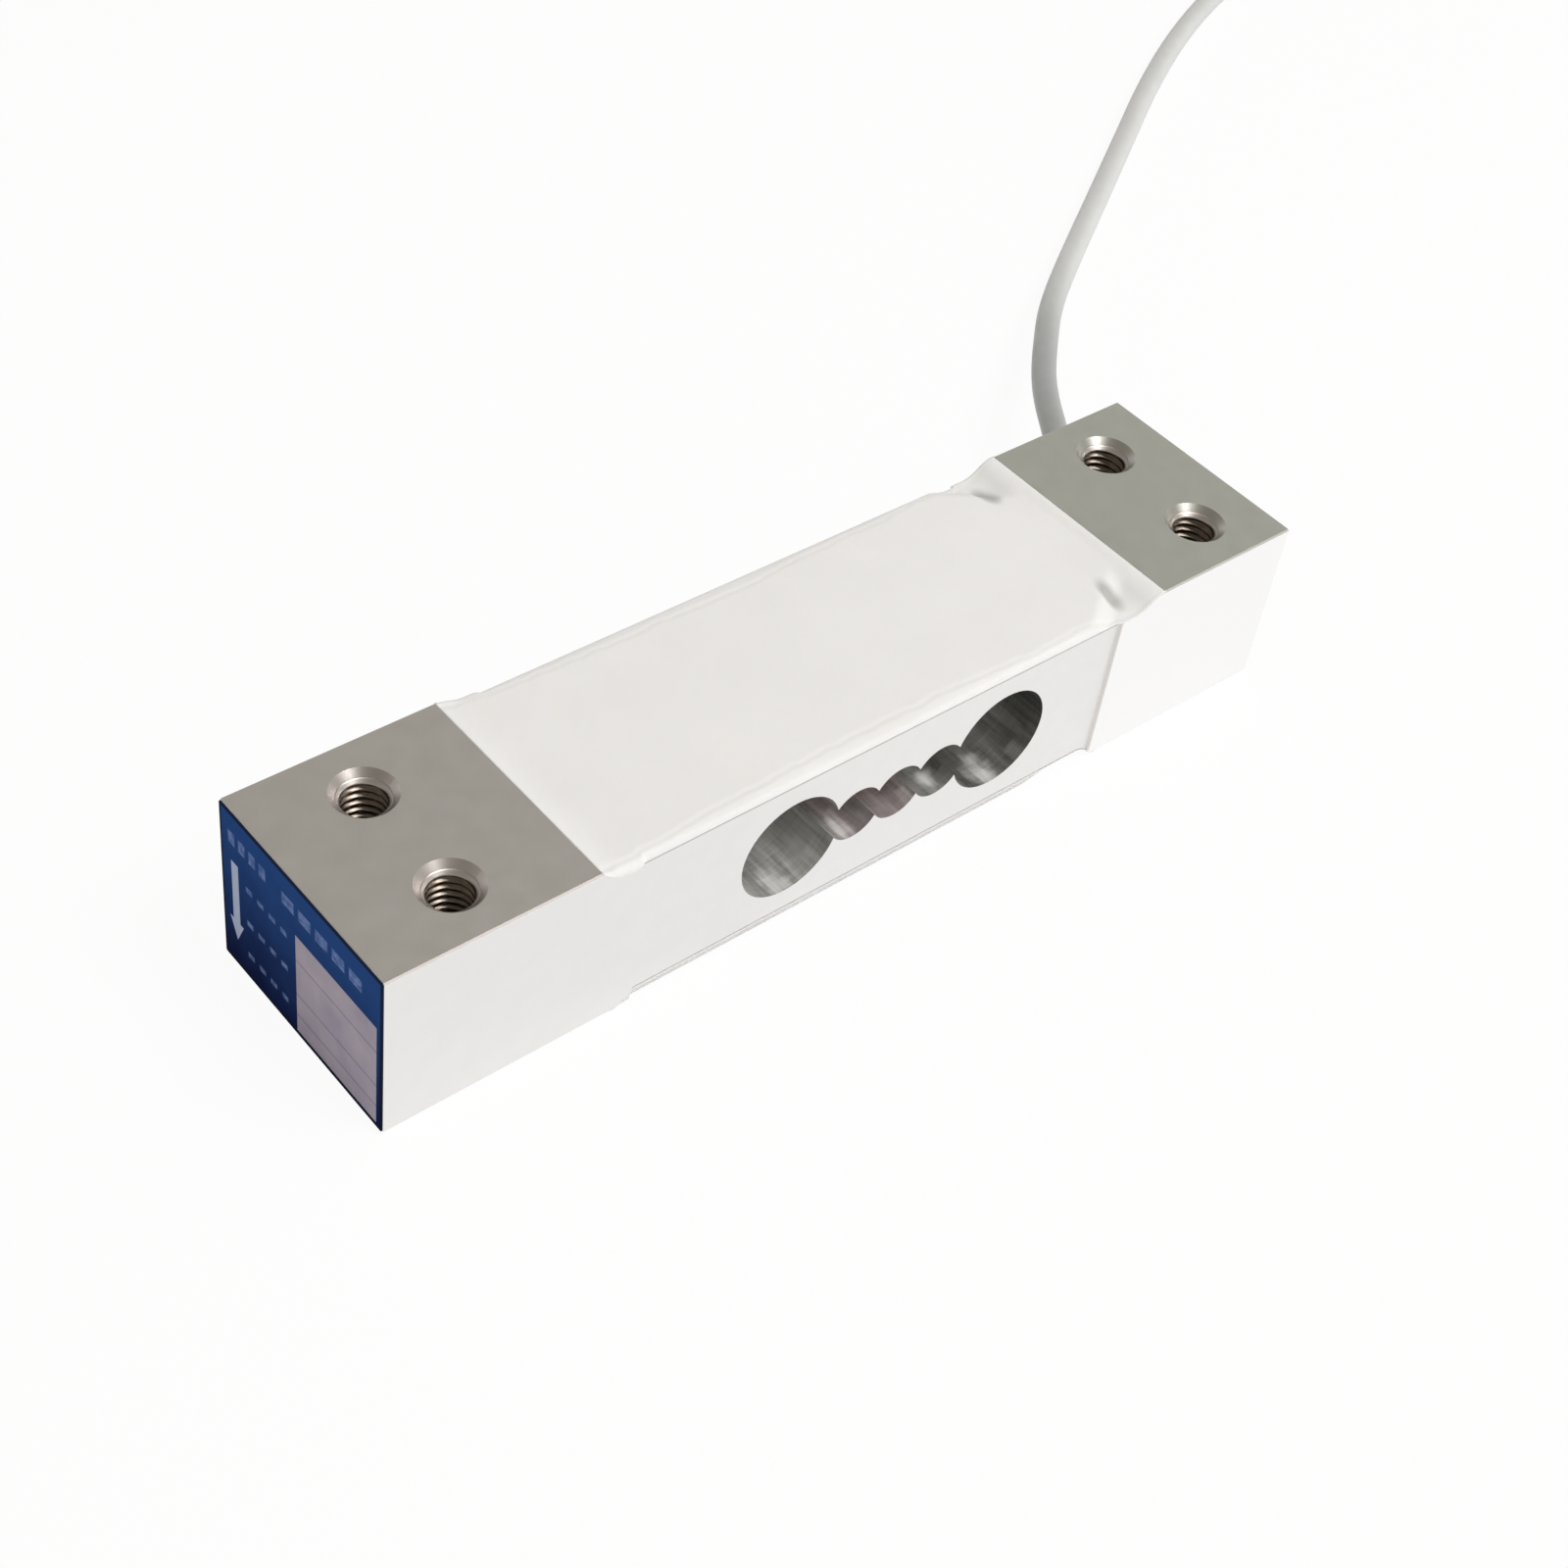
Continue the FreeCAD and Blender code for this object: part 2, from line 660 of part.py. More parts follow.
# Report of the cable: bend radii, and volume against section times length.
section = math.pi * cable_radius ** 2
coil_length = math.pi * (2 * coil_radius - cable_radius)
coil_length += (coil_radius - turn_pitch) * math.radians(coil_second_turn)
print("cable bend radii", [round(r, 1) for r in route_radii])
print("tail bend radii", [round(r, 1) for r in tail_radii])
print("tube volume over section times length", round(cable.Volume / section / cable_length, 4),
      round(tail.Volume / section / tail_length, 4))
print("cable length", round(cable_length), "+ coil", round(coil_length), "+ tail", round(tail_length))
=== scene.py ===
import json
import math
import bmesh
import bpy
from mathutils import Matrix, Vector, noise


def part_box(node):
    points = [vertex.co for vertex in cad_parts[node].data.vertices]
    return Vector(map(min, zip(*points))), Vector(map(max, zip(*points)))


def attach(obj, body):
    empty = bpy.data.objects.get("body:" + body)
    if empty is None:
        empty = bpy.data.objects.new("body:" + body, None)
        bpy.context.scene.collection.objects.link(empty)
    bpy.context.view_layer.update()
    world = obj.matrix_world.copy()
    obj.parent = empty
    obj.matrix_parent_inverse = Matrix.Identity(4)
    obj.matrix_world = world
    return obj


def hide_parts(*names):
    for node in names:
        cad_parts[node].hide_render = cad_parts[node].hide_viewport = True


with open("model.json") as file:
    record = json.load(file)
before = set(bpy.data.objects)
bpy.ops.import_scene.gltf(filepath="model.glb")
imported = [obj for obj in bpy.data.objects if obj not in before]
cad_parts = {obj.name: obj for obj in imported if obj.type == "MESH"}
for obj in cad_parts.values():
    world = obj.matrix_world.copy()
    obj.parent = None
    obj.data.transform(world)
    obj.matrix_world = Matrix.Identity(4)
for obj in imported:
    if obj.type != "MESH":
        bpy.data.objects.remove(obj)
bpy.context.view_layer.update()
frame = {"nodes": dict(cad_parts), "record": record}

# ---------------------------------------------------------------- camera
# A studio camera stands off the label end, on the side away from the cable,
# and looks down on the beam. It is rolled a little, so the beam climbs.
camera_place = (-0.15548, -0.14967, 0.21130)
azimuth, elevation, roll = (math.radians(a) for a in (-46.15, 44.09, 9.21))
camera_data = bpy.data.cameras.new("camera")
camera_data.lens = 59.09
camera_data.sensor_width = 36.0
camera_data.clip_start = 0.01
back = Vector((math.sin(azimuth) * math.cos(elevation), -math.cos(azimuth) * math.cos(elevation),
               math.sin(elevation)))
level_right = Vector((math.cos(azimuth), math.sin(azimuth), 0))
level_up = back.cross(level_right)
right = level_right * math.cos(roll) + level_up * math.sin(roll)
up = level_up * math.cos(roll) - level_right * math.sin(roll)
camera = bpy.data.objects.new("camera", camera_data)
camera_turn = Matrix((right, up, back)).transposed().to_4x4()
camera.matrix_world = Matrix.Translation(camera_place) @ camera_turn
bpy.context.scene.collection.objects.link(camera)
bpy.context.scene.camera = camera
bpy.context.scene.view_settings.view_transform = "Standard"


# ---------------------------------------------------------------- bench
# The part lies on a sheet of white card, which fades to plain white all round it
# but still takes a soft shadow.
def add_node(tree, kind, settings=None, values=None):
    """Adds a node; a value that is a socket is linked, and any other is set."""
    made = tree.nodes.new(kind)
    for key, value in (settings or {}).items():
        setattr(made, key, value)
    for key, value in (values or {}).items():
        if isinstance(value, bpy.types.NodeSocket):
            tree.links.new(value, made.inputs[key])
        else:
            made.inputs[key].default_value = value
    return made


def sum_of(tree, operation, *terms):
    """Output of a math node on one to three numbers or sockets."""
    return add_node(tree, "ShaderNodeMath", {"operation": operation}, dict(enumerate(terms))).outputs[0]


def times(tree, first, second):
    """Product of two numbers or sockets."""
    return sum_of(tree, "MULTIPLY", first, second)


def largest(tree, first, *others):
    """The largest of several numbers or sockets."""
    for other in others:
        first = sum_of(tree, "MAXIMUM", first, other)
    return first


def seen_by(tree, *rays):
    """1 for the rays named, such as those from the camera, and 0 for the rest."""
    path = add_node(tree, "ShaderNodeLightPath")
    return largest(tree, *(path.outputs[ray] for ray in rays))


card = bpy.data.materials.new("white_card")
card.use_nodes = True
tree = card.node_tree
shader = tree.nodes["Principled BSDF"]
shader.inputs["Base Color"].default_value = (0.86, 0.86, 0.86, 1)
shader.inputs["Roughness"].default_value = 0.9
shader.inputs["Specular IOR Level"].default_value = 0.0
glow = add_node(tree, "ShaderNodeEmission", None, {"Color": (1, 1, 1, 1), "Strength": 1.0})
direct = seen_by(tree, "Is Camera Ray", "Is Glossy Ray", "Is Transmission Ray")
part_glow = times(tree, direct, 0.94)
mixing = {0: part_glow, 1: shader.outputs[0], 2: glow.outputs[0]}
mixed = add_node(tree, "ShaderNodeMixShader", None, mixing)
tree.links.new(mixed.outputs[0], tree.nodes["Material Output"].inputs["Surface"])
half_card = 2.5
card_corners = [(half_card * x, half_card * y, 0) for x, y in ((-1, -1), (1, -1), (1, 1), (-1, 1))]
bench_mesh = bpy.data.meshes.new("bench")
bench_mesh.from_pydata(card_corners, [], [(0, 1, 2, 3)])
bench_mesh.materials.append(card)
bench = bpy.data.objects.new("bench", bench_mesh)
bench.location.z = -0.0002
bpy.context.scene.collection.objects.link(bench)


# ---------------------------------------------------------------- studio light
# A pale room with a greyer, slightly warm ceiling, and one large soft box in front
# on the right.
def ramp(tree, value, start, end, first=0.0, last=1.0, kind="SMOOTHSTEP"):
    """Turns start to end into first to last, with level ends or in a straight LINEAR way."""
    values = {"Value": value, "From Min": start, "From Max": end, "To Min": first, "To Max": last}
    return add_node(tree, "ShaderNodeMapRange", {"interpolation_type": kind}, values).outputs[0]


def axes_of(tree, vector):
    """The three parts of a vector."""
    return add_node(tree, "ShaderNodeSeparateXYZ", None, {0: vector}).outputs[:3]


def blend_colours(tree, factor, first, second, way="MIX"):
    """Mix of two colours or colour sockets, or their product."""
    made = add_node(tree, "ShaderNodeMix", {"data_type": "RGBA", "blend_type": way})
    for socket, value in ((made.inputs[0], factor), (made.inputs[6], first), (made.inputs[7], second)):
        if isinstance(value, bpy.types.NodeSocket):
            tree.links.new(value, socket)
        else:
            socket.default_value = value if socket == made.inputs[0] else (*value, 1)
    return made.outputs[2]


wall_ends, ceiling_starts = 0.16, 0.50
world = bpy.data.worlds.new("studio")
bpy.context.scene.world = world
world.use_nodes = True
tree = world.node_tree
tree.nodes.clear()
height = axes_of(tree, add_node(tree, "ShaderNodeTexCoord").outputs["Generated"])[2]
ceiling = ramp(tree, height, wall_ends, ceiling_starts, 1.0, 0.29)
strength = largest(tree, ceiling, seen_by(tree, "Is Camera Ray", "Is Transmission Ray"))
share_of_ceiling = ramp(tree, height, wall_ends, ceiling_starts, kind="LINEAR")
tint = blend_colours(tree, share_of_ceiling, (1, 1, 1), (1.0, 0.93, 0.81))
sky = add_node(tree, "ShaderNodeBackground", None, {"Color": tint, "Strength": strength})
add_node(tree, "ShaderNodeOutputWorld", None, {"Surface": sky.outputs[0]})
lamp = bpy.data.lights.new("soft_box", "AREA")
lamp.shape = "SQUARE"
lamp.size = 0.45
lamp.energy = 7.6
aimed_at = Vector((0, 0, 0.01))
stand = bpy.data.objects.new("soft_box", lamp)
stand.location = (0.26, -0.475, 0.93)
stand.rotation_euler = (aimed_at - stand.location).to_track_quat("-Z", "Y").to_euler()
bpy.context.scene.collection.objects.link(stand)


# ---------------------------------------------------------------- signal cable
# Four cores and a drain wire in a screen under a soft, light grey jacket of 3.5 mm.
# It leaves the far side of the beam, drops to the bench and ends in a flat coil.
def new_finish(name, metallic=0.0, roughness=0.5):
    """New material with its tree and its surface shader."""
    material = bpy.data.materials.new(name)
    material.use_nodes = True
    surface = material.node_tree.nodes["Principled BSDF"]
    surface.inputs["Metallic"].default_value = metallic
    surface.inputs["Roughness"].default_value = roughness
    return material, material.node_tree, surface


def place_of(tree):
    """Socket with the place on the part, in millimetres."""
    coordinates = add_node(tree, "ShaderNodeTexCoord").outputs["Object"]
    scaled = add_node(tree, "ShaderNodeVectorMath", {"operation": "SCALE"}, {0: coordinates})
    scaled.inputs["Scale"].default_value = 1000.0
    return scaled.outputs[0]


def grain(tree, place, per_mm, detail=3.0):
    """Fractal noise from 0 to 1, with so many grains to the millimetre."""
    values = {"Vector": place, "Scale": per_mm, "Detail": detail}
    return add_node(tree, "ShaderNodeTexNoise", None, values).outputs[0]


def spread(tree, value, low, high):
    """Turns 0.3 to 0.7, where nearly all noise lies, into low to high."""
    return ramp(tree, value, 0.3, 0.7, low, high, "LINEAR")


def emboss(tree, surface, height, depth):
    """Bump of so many millimetres on a shader."""
    made = add_node(tree, "ShaderNodeBump", None, {"Height": height, "Distance": depth / 1000})
    tree.links.new(made.outputs[0], surface.inputs["Normal"])


mm = 0.001
cable_radius = 1.75 * mm
cable_route = [
    (62.0, 10.5, 11.5),
    (62.0, 15.1, 11.5),
    (63.8, 20.9, 11.4),
    (67.9, 26.5, 10.8),
    (72.4, 32.2, 9.7),
    (77.7, 37.9, 8.3),
    (85.7, 45.2, 6.2),
    (95.2, 53.5, 3.9),
    (107.4, 62.0, 2.3),
    (122.2, 71.5, 1.75),
    (140.6, 83.2, 1.75),
    (159.8, 95.5, 1.75),
    (178.0, 105.4, 1.75),
    (194.5, 112.4, 1.75),
    (208.0, 116.0, 1.75),
]
points = [Vector(p) * mm for p in cable_route]
forward = (points[-1] - points[-2]).normalized()
leftward = Vector((-forward.y, forward.x, 0))
outer_turn = 22.75 * mm
coil_centre = points[-1] + leftward * outer_turn
turn_pitch = 2 * cable_radius
coil_steps, step_turn = 18, 22.5
for step in range(1, coil_steps + 1):
    # Each half turn is struck from its own centre, so the turns lie side by side.
    # The points stand a little outside the arc, because the curve cuts their corners.
    half_turn = int(step * step_turn // 180)
    radius = (outer_turn - half_turn * turn_pitch / 2) / math.cos(math.radians(step_turn / 2))
    angle = math.radians(step * step_turn)
    centre = coil_centre + leftward * (turn_pitch / 2 * (half_turn % 2))
    spot = centre + (forward * math.sin(angle) - leftward * math.cos(angle)) * radius
    points.append(Vector((spot.x, spot.y, cable_radius)))
# The tail closes in from the second turn, and its last runs are lifted by the sleeve.
# Each run has its turn in degrees, its length and its lift.
tail_runs = ((26, 7.2, 0), (26, 7.4, 0), (26, 7.7, 0), (25.5, 7.3, 0.2), (17, 5.7, 0.4), (10, 4.1, 0.4))
heading = (points[-1] - points[-2]).normalized()
for turn, run, lift in tail_runs:
    heading = Matrix.Rotation(math.radians(turn), 3, "Z") @ heading
    spot = points[-1] + heading * run * mm
    points.append(Vector((spot.x, spot.y, cable_radius + lift * mm)))
curve = bpy.data.curves.new("signal_cable", "CURVE")
curve.dimensions = "3D"
curve.bevel_depth = cable_radius
curve.bevel_resolution = 7
curve.resolution_u = 12
curve.use_fill_caps = True
line = curve.splines.new("NURBS")
line.points.add(len(points) - 1)
for control, point in zip(line.points, points):
    control.co = (*point, 1)
line.order_u = 3
line.use_endpoint_u = True
signal_cable = bpy.data.objects.new("signal_cable", curve)
bpy.context.scene.collection.objects.link(signal_cable)
jacket, tree, surface = new_finish("light_grey_jacket")
place = place_of(tree)
along = axes_of(tree, place)[0]
drift = spread(tree, grain(tree, place, 0.25), 0, 1)
# Painted shade: the jacket is darker near the beam, where the beam shades it, and lighter further out.
shade_ends, unshaded_starts = 78.0, 112.0
shaded_near_beam = blend_colours(tree, drift, (0.34, 0.35, 0.35), (0.39, 0.40, 0.40))
unshaded_jacket = blend_colours(tree, drift, (0.64, 0.65, 0.65), (0.69, 0.70, 0.70))
away = ramp(tree, along, shade_ends, unshaded_starts)
tree.links.new(blend_colours(tree, away, shaded_near_beam, unshaded_jacket), surface.inputs["Base Color"])
tree.links.new(spread(tree, drift, 0.38, 0.46), surface.inputs["Roughness"])
emboss(tree, surface, grain(tree, place, 1.25), 0.02)
curve.materials.append(jacket)
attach(signal_cable, "root")
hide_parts("cable", "cable_coil", "cable_tail")


# ---------------------------------------------------------------- beam
# One bar of aluminium alloy, milled all over and clear anodised. The window is
# drilled and reamed through it, which leaves scores along its walls.
def between(tree, value, low, high, soft=0.05):
    """1 where a value lies between two limits, with soft edges."""
    rise = ramp(tree, value, low - soft, low + soft)
    fall = ramp(tree, value, high + soft, high - soft)
    return times(tree, rise, fall)


def vector_math(tree, operation, *terms):
    """Vector math node on one or two vectors or sockets."""
    return add_node(tree, "ShaderNodeVectorMath", {"operation": operation}, dict(enumerate(terms)))


def stretched(tree, place, x, y, z):
    """Place scaled by its own factor along each axis."""
    return vector_math(tree, "MULTIPLY", place, (x, y, z)).outputs[0]


def length_of(tree, vector):
    """Length of a vector."""
    return vector_math(tree, "LENGTH", vector).outputs["Value"]


def drifting(tree, grains, first, second):
    """Colour that drifts between two shades with a noise."""
    return blend_colours(tree, spread(tree, grains, 0, 1), first, second)


def dress(finish, *names):
    """Gives pieces of the frame their finish."""
    for name in names:
        data = frame["nodes"][name].data
        data.materials.clear()
        data.materials.append(finish)


window_start, window_end = -19.1, 26.1
window_floor, window_roof = 3.8, 18.6
# The land and the full-width side at the cable end start here, and reach past the end.
far_land_start, far_side_start, past_end = 40.0, 36.6, 70.0
sinks_within = 12.5
shaded_sink_colour = (0.52, 0.48, 0.455)
beam_finish, tree, surface = new_finish("milled_aluminium", 1.0)
place = place_of(tree)
along, across, high = axes_of(tree, place)
facing = axes_of(tree, add_node(tree, "ShaderNodeNewGeometry").outputs["Normal"])
window_wall = between(tree, facing[1], -0.5, 0.5)
for value, low, limit in (
    (along, window_start - 0.5, window_end + 0.5),
    (high, window_floor, window_roof),
):
    window_wall = times(tree, window_wall, between(tree, value, low, limit))
skin = grain(tree, place, 0.35)
speckle = grain(tree, place, 9.0)
milled = drifting(tree, skin, (0.855, 0.84, 0.825), (0.875, 0.86, 0.845))
milled = blend_colours(tree, spread(tree, speckle, 0, 0.10), milled, (0.62, 0.60, 0.57))
# Painted shade: sloping facets are darker than the flat faces, and the countersinks darker still, to dull
# the lamp's reflection in them.
facet = between(tree, facing[2], 0.62, 0.80)
milled = blend_colours(tree, facet, milled, (0.60, 0.56, 0.54))
countersink = times(tree, facet, between(tree, across, -sinks_within, sinks_within))
milled = blend_colours(tree, countersink, milled, shaded_sink_colour)
# The land at the cable end is a shade greener.
upward = between(tree, facing[2], 0.60, 1.1)
far_land = times(tree, between(tree, along, far_land_start, past_end), upward)
greener = blend_colours(tree, 1.0, milled, (0.94, 1.0, 0.97), "MULTIPLY")
milled = blend_colours(tree, far_land, milled, greener)
# Painted light: the near side of the full-width block at the cable end is paler, as a highlight on it.
near_side = between(tree, facing[1], -1.1, -0.9)
painted_light_flank = times(tree, between(tree, along, far_side_start, past_end), near_side)
milled = blend_colours(tree, painted_light_flank, milled, (0.97, 0.965, 0.96))
# The reamer leaves scores along each bore and rings round it. The walls turn from light to dark by turns,
# partly in their own tone and partly as painted reflection and shade, with a little pink compound in the
# middle.
scores = grain(tree, stretched(tree, place, 1.9, 0.13, 1.9), 1.0, 4.0)
blotches = grain(tree, stretched(tree, place, 0.20, 0.16, 0.20), 1.0, 3.0)
rings = grain(tree, stretched(tree, place, 0.25, 3.0, 0.25), 1.0, 4.0)
# Each tone has its place along the beam and its colour.
wall_tones_and_painted_light = (
    (-19.0, 0.52, 0.52, 0.50), (-15.0, 0.74, 0.74, 0.72), (-10.6, 0.95, 0.95, 0.93),
    (-8.6, 0.62, 0.62, 0.60), (-6.5, 0.36, 0.36, 0.34), (-5.2, 0.62, 0.62, 0.60),
    (-3.6, 1.00, 0.97, 0.96), (-2.2, 1.00, 0.90, 0.91), (-0.2, 0.38, 0.33, 0.33),
    (1.4, 0.64, 0.54, 0.54), (3.7, 0.98, 0.86, 0.86), (5.8, 0.80, 0.74, 0.72),
    (7.2, 0.50, 0.46, 0.45), (8.6, 0.76, 0.74, 0.72), (10.4, 1.00, 1.00, 0.98),
    (12.6, 0.38, 0.38, 0.36), (16.2, 0.72, 0.72, 0.70), (19.4, 0.90, 0.90, 0.88),
    (22.4, 0.62, 0.62, 0.60), (26.0, 0.36, 0.36, 0.34),
)
share_along = ramp(tree, along, window_start, window_end, kind="LINEAR")
tones = add_node(tree, "ShaderNodeValToRGB", None, {0: share_along}).outputs[0]
stops = tones.node.color_ramp.elements
for x, *tone in wall_tones_and_painted_light:
    stop = stops.new((x - window_start) / (window_end - window_start))
    stop.color = (*tone, 1)
stops.remove(stops[0])
stops.remove(stops[-1])
worn = sum_of(tree, "ADD", times(tree, scores, 0.40), times(tree, blotches, 0.40))
worn = sum_of(tree, "MULTIPLY_ADD", rings, 0.20, worn)
wear = spread(tree, worn, 0.35, 1.35)
shade = add_node(tree, "ShaderNodeCombineColor", None, {channel: wear for channel in range(3)}).outputs[0]
reamed = blend_colours(tree, 1.0, tones, shade, "MULTIPLY")
# A thin pale film dulls the walls and brightens them as painted reflection, thickest low down near the
# mouth.
# Each thick patch has its middle and its radius.
painted_light_patches = (
    ((-12.4, -12.9, 4.3), 3.4),
    ((19.2, -13.0, 4.3), 3.0),
    ((-3.0, -12.6, 7.6), 2.2),
    ((10.5, -12.2, 7.6), 2.0),
)
wander = grain(tree, place, 0.55)
film = 0.0
for centre, radius in painted_light_patches:
    apart = vector_math(tree, "SUBTRACT", place, centre).outputs[0]
    apart = length_of(tree, stretched(tree, apart, 1.0, 0.55, 1.3))
    apart = sum_of(tree, "MULTIPLY_ADD", wander, 3.0, sum_of(tree, "SUBTRACT", apart, 1.5))
    film = largest(tree, film, between(tree, apart, -radius, radius * 0.5, radius * 0.5))
# Painted reflection: a wash of the film over all the walls, strongest towards the label end.
painted_light_wash = sum_of(tree, "MULTIPLY_ADD", between(tree, along, -40.0, -5.0, 1.5), 0.16, 0.08)
painted_light_wash = sum_of(tree, "MULTIPLY_ADD", between(tree, along, -40.0, 12.0, 1.5), 0.20, painted_light_wash)
film = largest(tree, times(tree, film, 0.95), painted_light_wash)
film = times(tree, times(tree, film, window_wall), wear)
reamed = blend_colours(tree, film, reamed, blend_colours(tree, 0.45, tones, (0.80, 0.80, 0.78)))
tree.links.new(sum_of(tree, "MULTIPLY_ADD", film, -0.90, 1.0), surface.inputs["Metallic"])
tree.links.new(blend_colours(tree, window_wall, milled, reamed), surface.inputs["Base Color"])
satin = spread(tree, skin, 0.38, 0.41)
for mask, change in ((window_wall, -0.06), (facet, 0.18), (countersink, -0.22)):
    satin = sum_of(tree, "MULTIPLY_ADD", mask, change, satin)
tree.links.new(satin, surface.inputs["Roughness"])
cutter_marks = grain(tree, stretched(tree, place, 5.0, 0.25, 5.0), 1.0, 2.0)
relief = 0.0
wall_scores = times(tree, scores, window_wall)
for height, share in ((wall_scores, 3.0), (cutter_marks, 0.12), (speckle, 0.18)):
    relief = sum_of(tree, "MULTIPLY_ADD", height, share, relief)
emboss(tree, surface, relief, 0.02)
dress(beam_finish, "beam")


# ---------------------------------------------------------------- tapped threads
# Each end of the beam has two tapped holes right through it. The ridges have a
# 1 mm pitch, and the countersinks cut them away at both mouths.
def round_point(centre, radius, share, z):
    """Point so much of a turn round an upright axis. Radius and z are in millimetres."""
    angle = share * math.tau
    return (centre.x + radius * mm * math.cos(angle), centre.y + radius * mm * math.sin(angle), z * mm)


def smooth_piece(mesh, name, finish):
    """Object in the scene made from a mesh that is being built."""
    data = bpy.data.meshes.new(name)
    mesh.normal_update()
    mesh.to_mesh(data)
    mesh.free()
    for face in data.polygons:
        face.use_smooth = True
    data.materials.append(finish)
    piece = bpy.data.objects.new(name, data)
    bpy.context.scene.collection.objects.link(piece)
    return piece


beam_low, beam_high = (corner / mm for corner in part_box("beam"))
# The ridges start a little way down the countersinks, and their grooves run out
# towards them. A ridge's flank takes so much of the pitch, and its crest is cut flat.
thread_pitch = 1.0
wall_radius, root_radius, crest_radius, sink_radius = 2.995, 2.965, 2.46, 3.75
first_ridge, run_out_start, run_out = 0.78, 0.12, 0.4
flank_share, crest_cut = 0.38, 1.12
mouth_depth = 1.3
thread_columns, thread_rows = 64, 172
thread_finish, tree, surface = new_finish("cut_thread", 1.0)
place = place_of(tree)
# The threads are dark brown below the mouths, and at the mouths they take the countersinks' colour with its
# painted shade.
dark_inside = drifting(tree, grain(tree, place, 1.2), (0.155, 0.125, 0.10), (0.235, 0.20, 0.17))
inside = between(tree, axes_of(tree, place)[2], mouth_depth, beam_high.z - mouth_depth)
tree.links.new(blend_colours(tree, inside, shaded_sink_colour, dark_inside), surface.inputs["Base Color"])
tree.links.new(sum_of(tree, "MULTIPLY_ADD", inside, -0.10, 0.40), surface.inputs["Roughness"])
emboss(tree, surface, grain(tree, place, 6.0), 0.01)
for mount in frame["record"]["mounts"]:
    if mount["kind"] != "threaded_hole":
        continue
    centre = Vector(mount["pos_m"])
    mesh = bmesh.new()
    sleeve = []
    for row in range(thread_rows + 1):
        z = first_ridge + (beam_high.z - 2 * first_ridge) * row / thread_rows
        sink = sink_radius - min(z, beam_high.z - z)
        run_share = min(1.0, max(0.0, (crest_radius + run_out_start - sink) / run_out))
        thread_depth = (root_radius - crest_radius) * run_share
        ring = []
        for column in range(thread_columns):
            share = column / thread_columns
            # One turn round the hole climbs by the pitch.
            phase = (z / thread_pitch - share) % 1.0
            ridge = min(1.0, crest_cut * max(0.0, 1.0 - abs(phase - 0.5) / flank_share))
            radius = max(sink, crest_radius + thread_depth * (1 - ridge))
            ring.append(mesh.verts.new(round_point(centre, radius, share, z)))
        sleeve.append(ring)
    for z in (beam_high.z - first_ridge, first_ridge):
        sleeve.append([mesh.verts.new(round_point(centre, wall_radius, column / thread_columns, z))
                       for column in range(thread_columns)])
    for ring, following in zip(sleeve, sleeve[1:] + sleeve[:1]):
        for c in range(thread_columns):
            n = (c + 1) % thread_columns
            mesh.faces.new((ring[n], ring[c], following[c], following[n]))
    ridges = smooth_piece(mesh, mount["name"].replace("_thread_", "_thread_ridges_"), thread_finish)
    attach(ridges, "root")


# ---------------------------------------------------------------- silicone
# White silicone fills the recess over the gauges, above and below. It is poured
# and struck off, so it crowns at the long edges and creeps up both ramps.

# The beam's ramps, by their feet along the beam and how far each one runs. The upper
# one at the label end is a single bend.
top_feet, top_run, top_bend = (-35.0, 38.2), 5.2, 5.0
under_feet, under_run = (-32.7, 34.3), 3.7
# Between these two places the coats keep to the beam's narrow middle, and past them
# they are nearly as wide as the beam.
narrow_from, narrow_to, widening, side_gap = -33.3, 36.3, 0.5, 0.03
# A coat's skin over bare metal, how far its base is sunk into the metal, and how far
# its top stays under the land.
thinnest, sunk_in, below_land = 0.04, 0.10, 0.01
creep_by_label, creep_by_cable, creep_below_land = 4.4, 6.4, 0.03
# Each corner at the cable end is cut off along a slanting line.
corner_inset, corner_across, corner_fade = 3.3, 8.0, 2.8
corner_slant = (0.577, 0.817)
# The crowned band along each edge: its width at the ends of the beam, what it gains
# in the middle, the height at its foot, and the faint groove where it starts.
band_least, band_gain, band_middle, band_reach = 0.55, 1.15, -5.0, 26.0
edge_height, groove_depth, groove_width = 0.92, 0.12, 0.25
# The two dips by the cable end, in the form of the coat and as painted shade in its colour.
dip_inset, dip_across, dip_depth = 5.1, 10.7, 0.30
dip_half_length, dip_half_width = 1.6, 2.6
dip_shade_stretch, dip_shade_ends_at, dip_shade_full_at = 1.9, 3.1, 0.9
coat_columns, coat_rows = 260, 84


def arc_rise(distance, radius):
    """Height of a circle above its lowest point, so far from its centre line."""
    return radius - math.sqrt(max(0.0, radius * radius - distance * distance))


def slope_rise(reach, run, rise):
    """Height so far up a ramp that two equal arcs make, one hollow and one round."""
    radius = (run ** 2 + rise ** 2) / (4 * rise)
    if reach > run / 2:
        return rise - arc_rise(run - min(run, reach), radius)
    return arc_rise(max(0.0, reach), radius)


def top_metal(x, depth):
    """Height of the metal above the floor of the upper recess."""
    by_label = arc_rise(max(0.0, top_feet[0] - x), top_bend)
    return max(by_label, slope_rise(x - top_feet[1], top_run, depth))


def under_metal(x, depth):
    """Height of the metal above the floor of the lower recess."""
    by_label = slope_rise(under_feet[0] - x, under_run, depth)
    return max(by_label, slope_rise(x - under_feet[1], under_run, depth))


def smooth(share):
    """0 to 1 with level ends."""
    share = min(1.0, max(0.0, share))
    return share * share * (3 - 2 * share)


silicone_finish, tree, surface = new_finish("white_silicone")
place = place_of(tree)
along, across = axes_of(tree, place)[:2]
silicone_colour = drifting(tree, grain(tree, place, 0.12), (0.865, 0.86, 0.86), (0.885, 0.88, 0.88))
